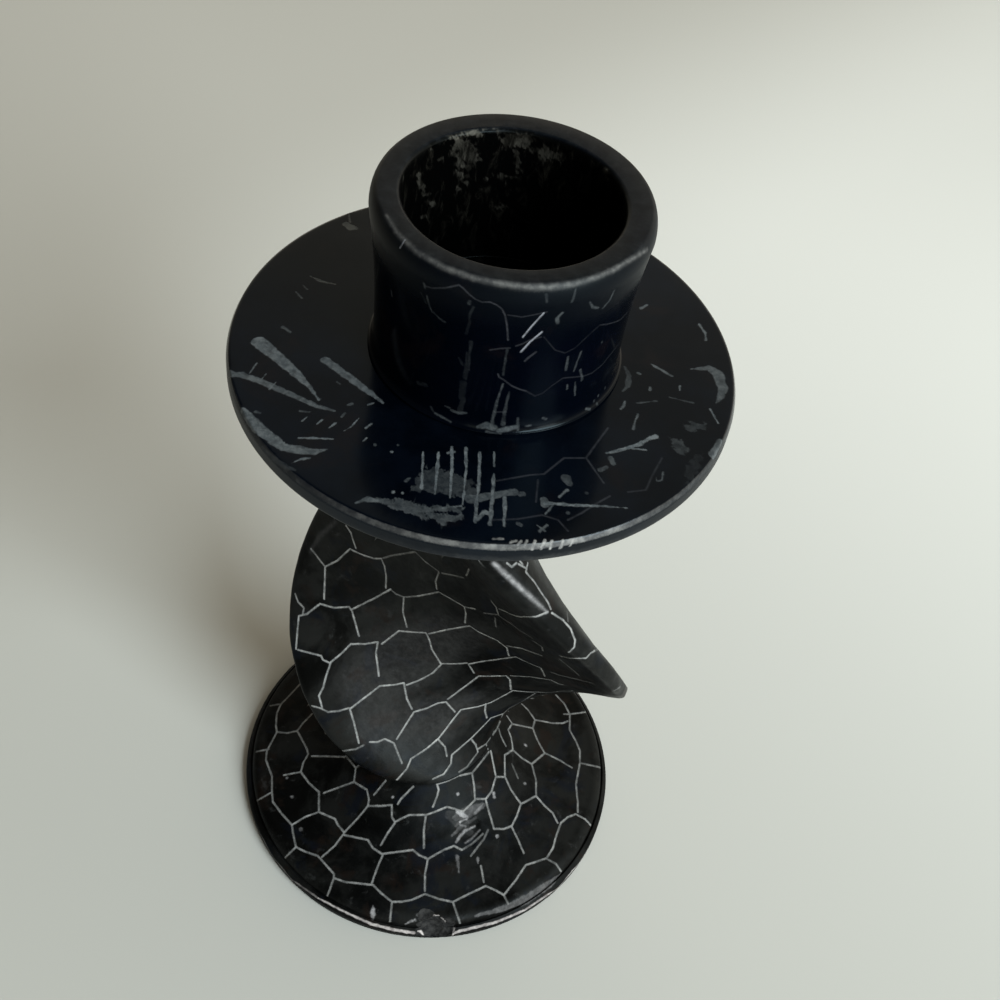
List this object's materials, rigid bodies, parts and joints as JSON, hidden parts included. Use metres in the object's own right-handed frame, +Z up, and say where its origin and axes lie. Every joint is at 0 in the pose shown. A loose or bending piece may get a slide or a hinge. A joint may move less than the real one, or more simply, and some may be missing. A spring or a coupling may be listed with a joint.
{
  "type": "taper candle holder",
  "caption": "Carved black stone taper candlestick: domed round base, twisted leaf stem, flat round drip pan and a short cup with a round bore for one candle.",
  "frame": {"origin": "middle of the base's flat underside, on the surface that the holder stands on", "axes": "+Z up along the base's axis; in the picture's view +X points to the right and -Y towards the camera"},
  "size_m": [0.062, 0.062, 0.1195],
  "materials": {
    "carved_stone": "matte black-dyed soapstone, hand carved, with a network of light grey engraved lines",
    "polished_stone": "polished black-dyed soapstone with a faint blue tint, scuffed pale in places",
    "pin_steel": "plain steel pin, hidden inside the joints"
  },
  "bodies": {
    "root": {"base": "carved_stone", "twisted_stem": "carved_stone", "drip_pan": "polished_stone", "candle_cup": "polished_stone", "lower_pin": "pin_steel", "upper_pin": "pin_steel"}
  },
  "joints": []
}
